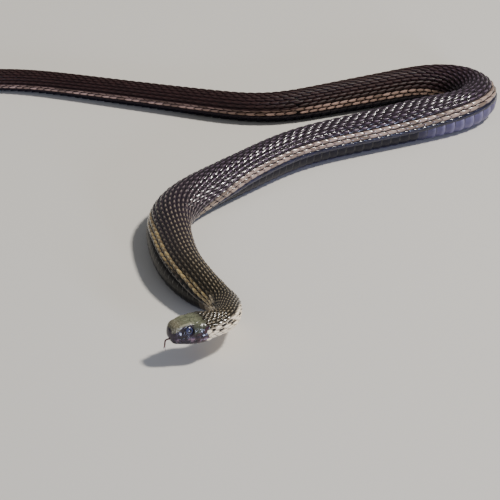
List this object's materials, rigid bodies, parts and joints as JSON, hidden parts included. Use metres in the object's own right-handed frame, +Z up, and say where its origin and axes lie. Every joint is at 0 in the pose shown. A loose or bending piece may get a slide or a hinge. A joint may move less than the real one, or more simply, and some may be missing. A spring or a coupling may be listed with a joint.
{
  "type": "garter snake",
  "caption": "Life-size garter snake lying in loose bends on its belly, with its head held just clear of the ground, dark back, tan side stripes and pale belly plates",
  "frame": {"origin": "on the ground under the middle of the whole animal's box", "axes": "+Z up; +X along the longest way across the bends, from the tail's side towards the hairpin bend; the head's snout points to -X and a little to -Y"},
  "size_m": [0.4706, 0.2878, 0.0195],
  "materials": {
    "head_skin": "smooth wet head shields, olive on the crown, plum brown on the jaws",
    "neck_skin": "keeled wet scales, cream with black spots low on the left side",
    "body_skin": "keeled wet scales, near black with a tan stripe on each side and lavender grey belly plates",
    "eye": "clear wet scale over a dark eye",
    "tongue": "wet, dark reddish purple"
  },
  "bodies": {
    "root": {"head": "head_skin", "lower_jaw": "head_skin", "eye_left": "eye", "eye_right": "eye", "tongue": "tongue", "neck": "neck_skin", "body_1": "body_skin", "body_2": "body_skin", "body_3": "body_skin", "body_4": "body_skin", "body_5": "body_skin", "body_6": "body_skin", "body_7": "body_skin", "body_8": "body_skin", "tail_base": "body_skin", "tail_tip": "body_skin"}
  },
  "joints": []
}
